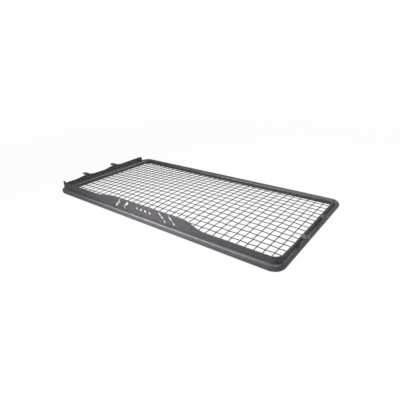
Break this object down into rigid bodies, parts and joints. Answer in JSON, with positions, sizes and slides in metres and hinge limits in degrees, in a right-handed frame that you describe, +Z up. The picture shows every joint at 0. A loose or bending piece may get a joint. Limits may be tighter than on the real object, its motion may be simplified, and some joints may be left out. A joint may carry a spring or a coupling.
{
  "type": "interior ceiling cargo rack",
  "caption": "Flat cargo rack for a vehicle ceiling: a bent tube hoop filled with woven wire mesh, a raised slotted front plate, rim plates and side mounting tabs.",
  "frame": {"origin": "on the floor under the middle of the hoop, which is also the middle of the whole rack", "axes": "+X along the length, -Y towards the slotted front plate, +Z up"},
  "size_m": [1.078, 0.543, 0.069],
  "materials": {
    "tube": "satin dark grey powder coat",
    "plate": "satin dark grey powder coat",
    "tab": "satin dark grey powder coat",
    "mesh_wire": "satin dark grey powder coat"
  },
  "bodies": {
    "root": {"bends_back": "tube", "bends_front": "tube", "cross_wires_far_left": "mesh_wire", "cross_wires_far_right": "mesh_wire", "cross_wires_left": "mesh_wire", "cross_wires_middle": "mesh_wire", "cross_wires_right": "mesh_wire", "front_fascia": "plate", "left_end_plate": "plate", "left_tab_front": "tab", "left_tab_rear": "tab", "long_wires_front": "mesh_wire", "long_wires_middle": "mesh_wire", "long_wires_rear": "mesh_wire", "right_rim": "plate", "right_tab_front": "tab", "right_tab_rear": "tab", "tube_back": "tube", "tube_front": "tube", "tube_left": "tube", "tube_right": "tube"}
  },
  "joints": []
}
